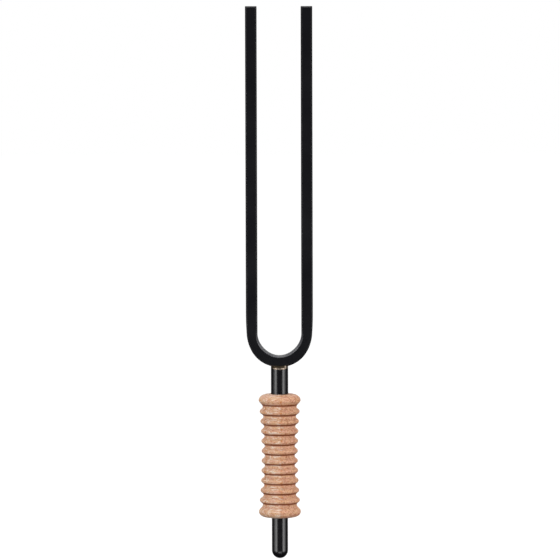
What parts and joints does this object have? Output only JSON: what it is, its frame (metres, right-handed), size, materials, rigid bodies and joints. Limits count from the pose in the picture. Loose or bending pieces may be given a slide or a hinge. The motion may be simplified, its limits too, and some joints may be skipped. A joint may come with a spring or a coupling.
{
  "type": "tuning fork",
  "caption": "Hand-held low-pitched tuning fork: a blackened square-bar bow brazed to a turned round-footed stem that carries a ribbed wooden grip.",
  "frame": {"origin": "lowest point of the round foot, on the stem's axis", "axes": "+Z along the stem towards the prong ends, X from prong to prong, Y across the thickness of the bar"},
  "size_m": [0.029, 0.0182, 0.2394],
  "materials": {
    "black_bar": "thin satin black coating on drawn square steel bar",
    "black_turned_steel": "thin glossy black coating on turned steel rod",
    "braze_metal": "bare pale gold braze metal, smooth as it flowed",
    "turned_beech": "turned and sanded pinkish-tan beech with a thin oil finish, darker in the grooves"
  },
  "bodies": {
    "root": {"prong_bow": "black_bar", "stem": "black_turned_steel", "braze_fillet": "braze_metal", "grip": "turned_beech"}
  },
  "joints": []
}
